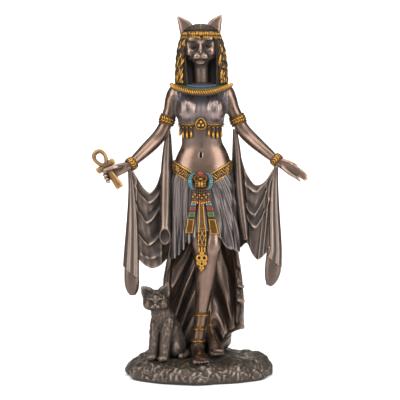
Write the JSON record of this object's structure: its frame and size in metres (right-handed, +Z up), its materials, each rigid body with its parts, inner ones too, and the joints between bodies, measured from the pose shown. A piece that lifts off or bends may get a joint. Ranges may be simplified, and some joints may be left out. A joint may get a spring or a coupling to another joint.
{
  "type": "cat goddess figurine",
  "caption": "Cast figurine of a cat-headed Egyptian goddess with arms held out, looped cross in hand, swagged shawl, and a seated cat on a low rock base",
  "frame": {"origin": "centre of the flat underside's standing area, below the figure, at the level of the table", "axes": "+Z up, the figure faces -Y, her right hand with the looped cross is towards -X"},
  "size_m": [0.1581, 0.0803, 0.2709],
  "materials": {
    "bronze_resin": "resin filled with bronze powder, dark brown wash in the hollows, rubbed pinkish tan on the high places",
    "pale_gold": "resin brushed with pale gold paint over a brown wash"
  },
  "bodies": {
    "root": {"figure": "bronze_resin", "looped_cross": "pale_gold"}
  },
  "joints": []
}
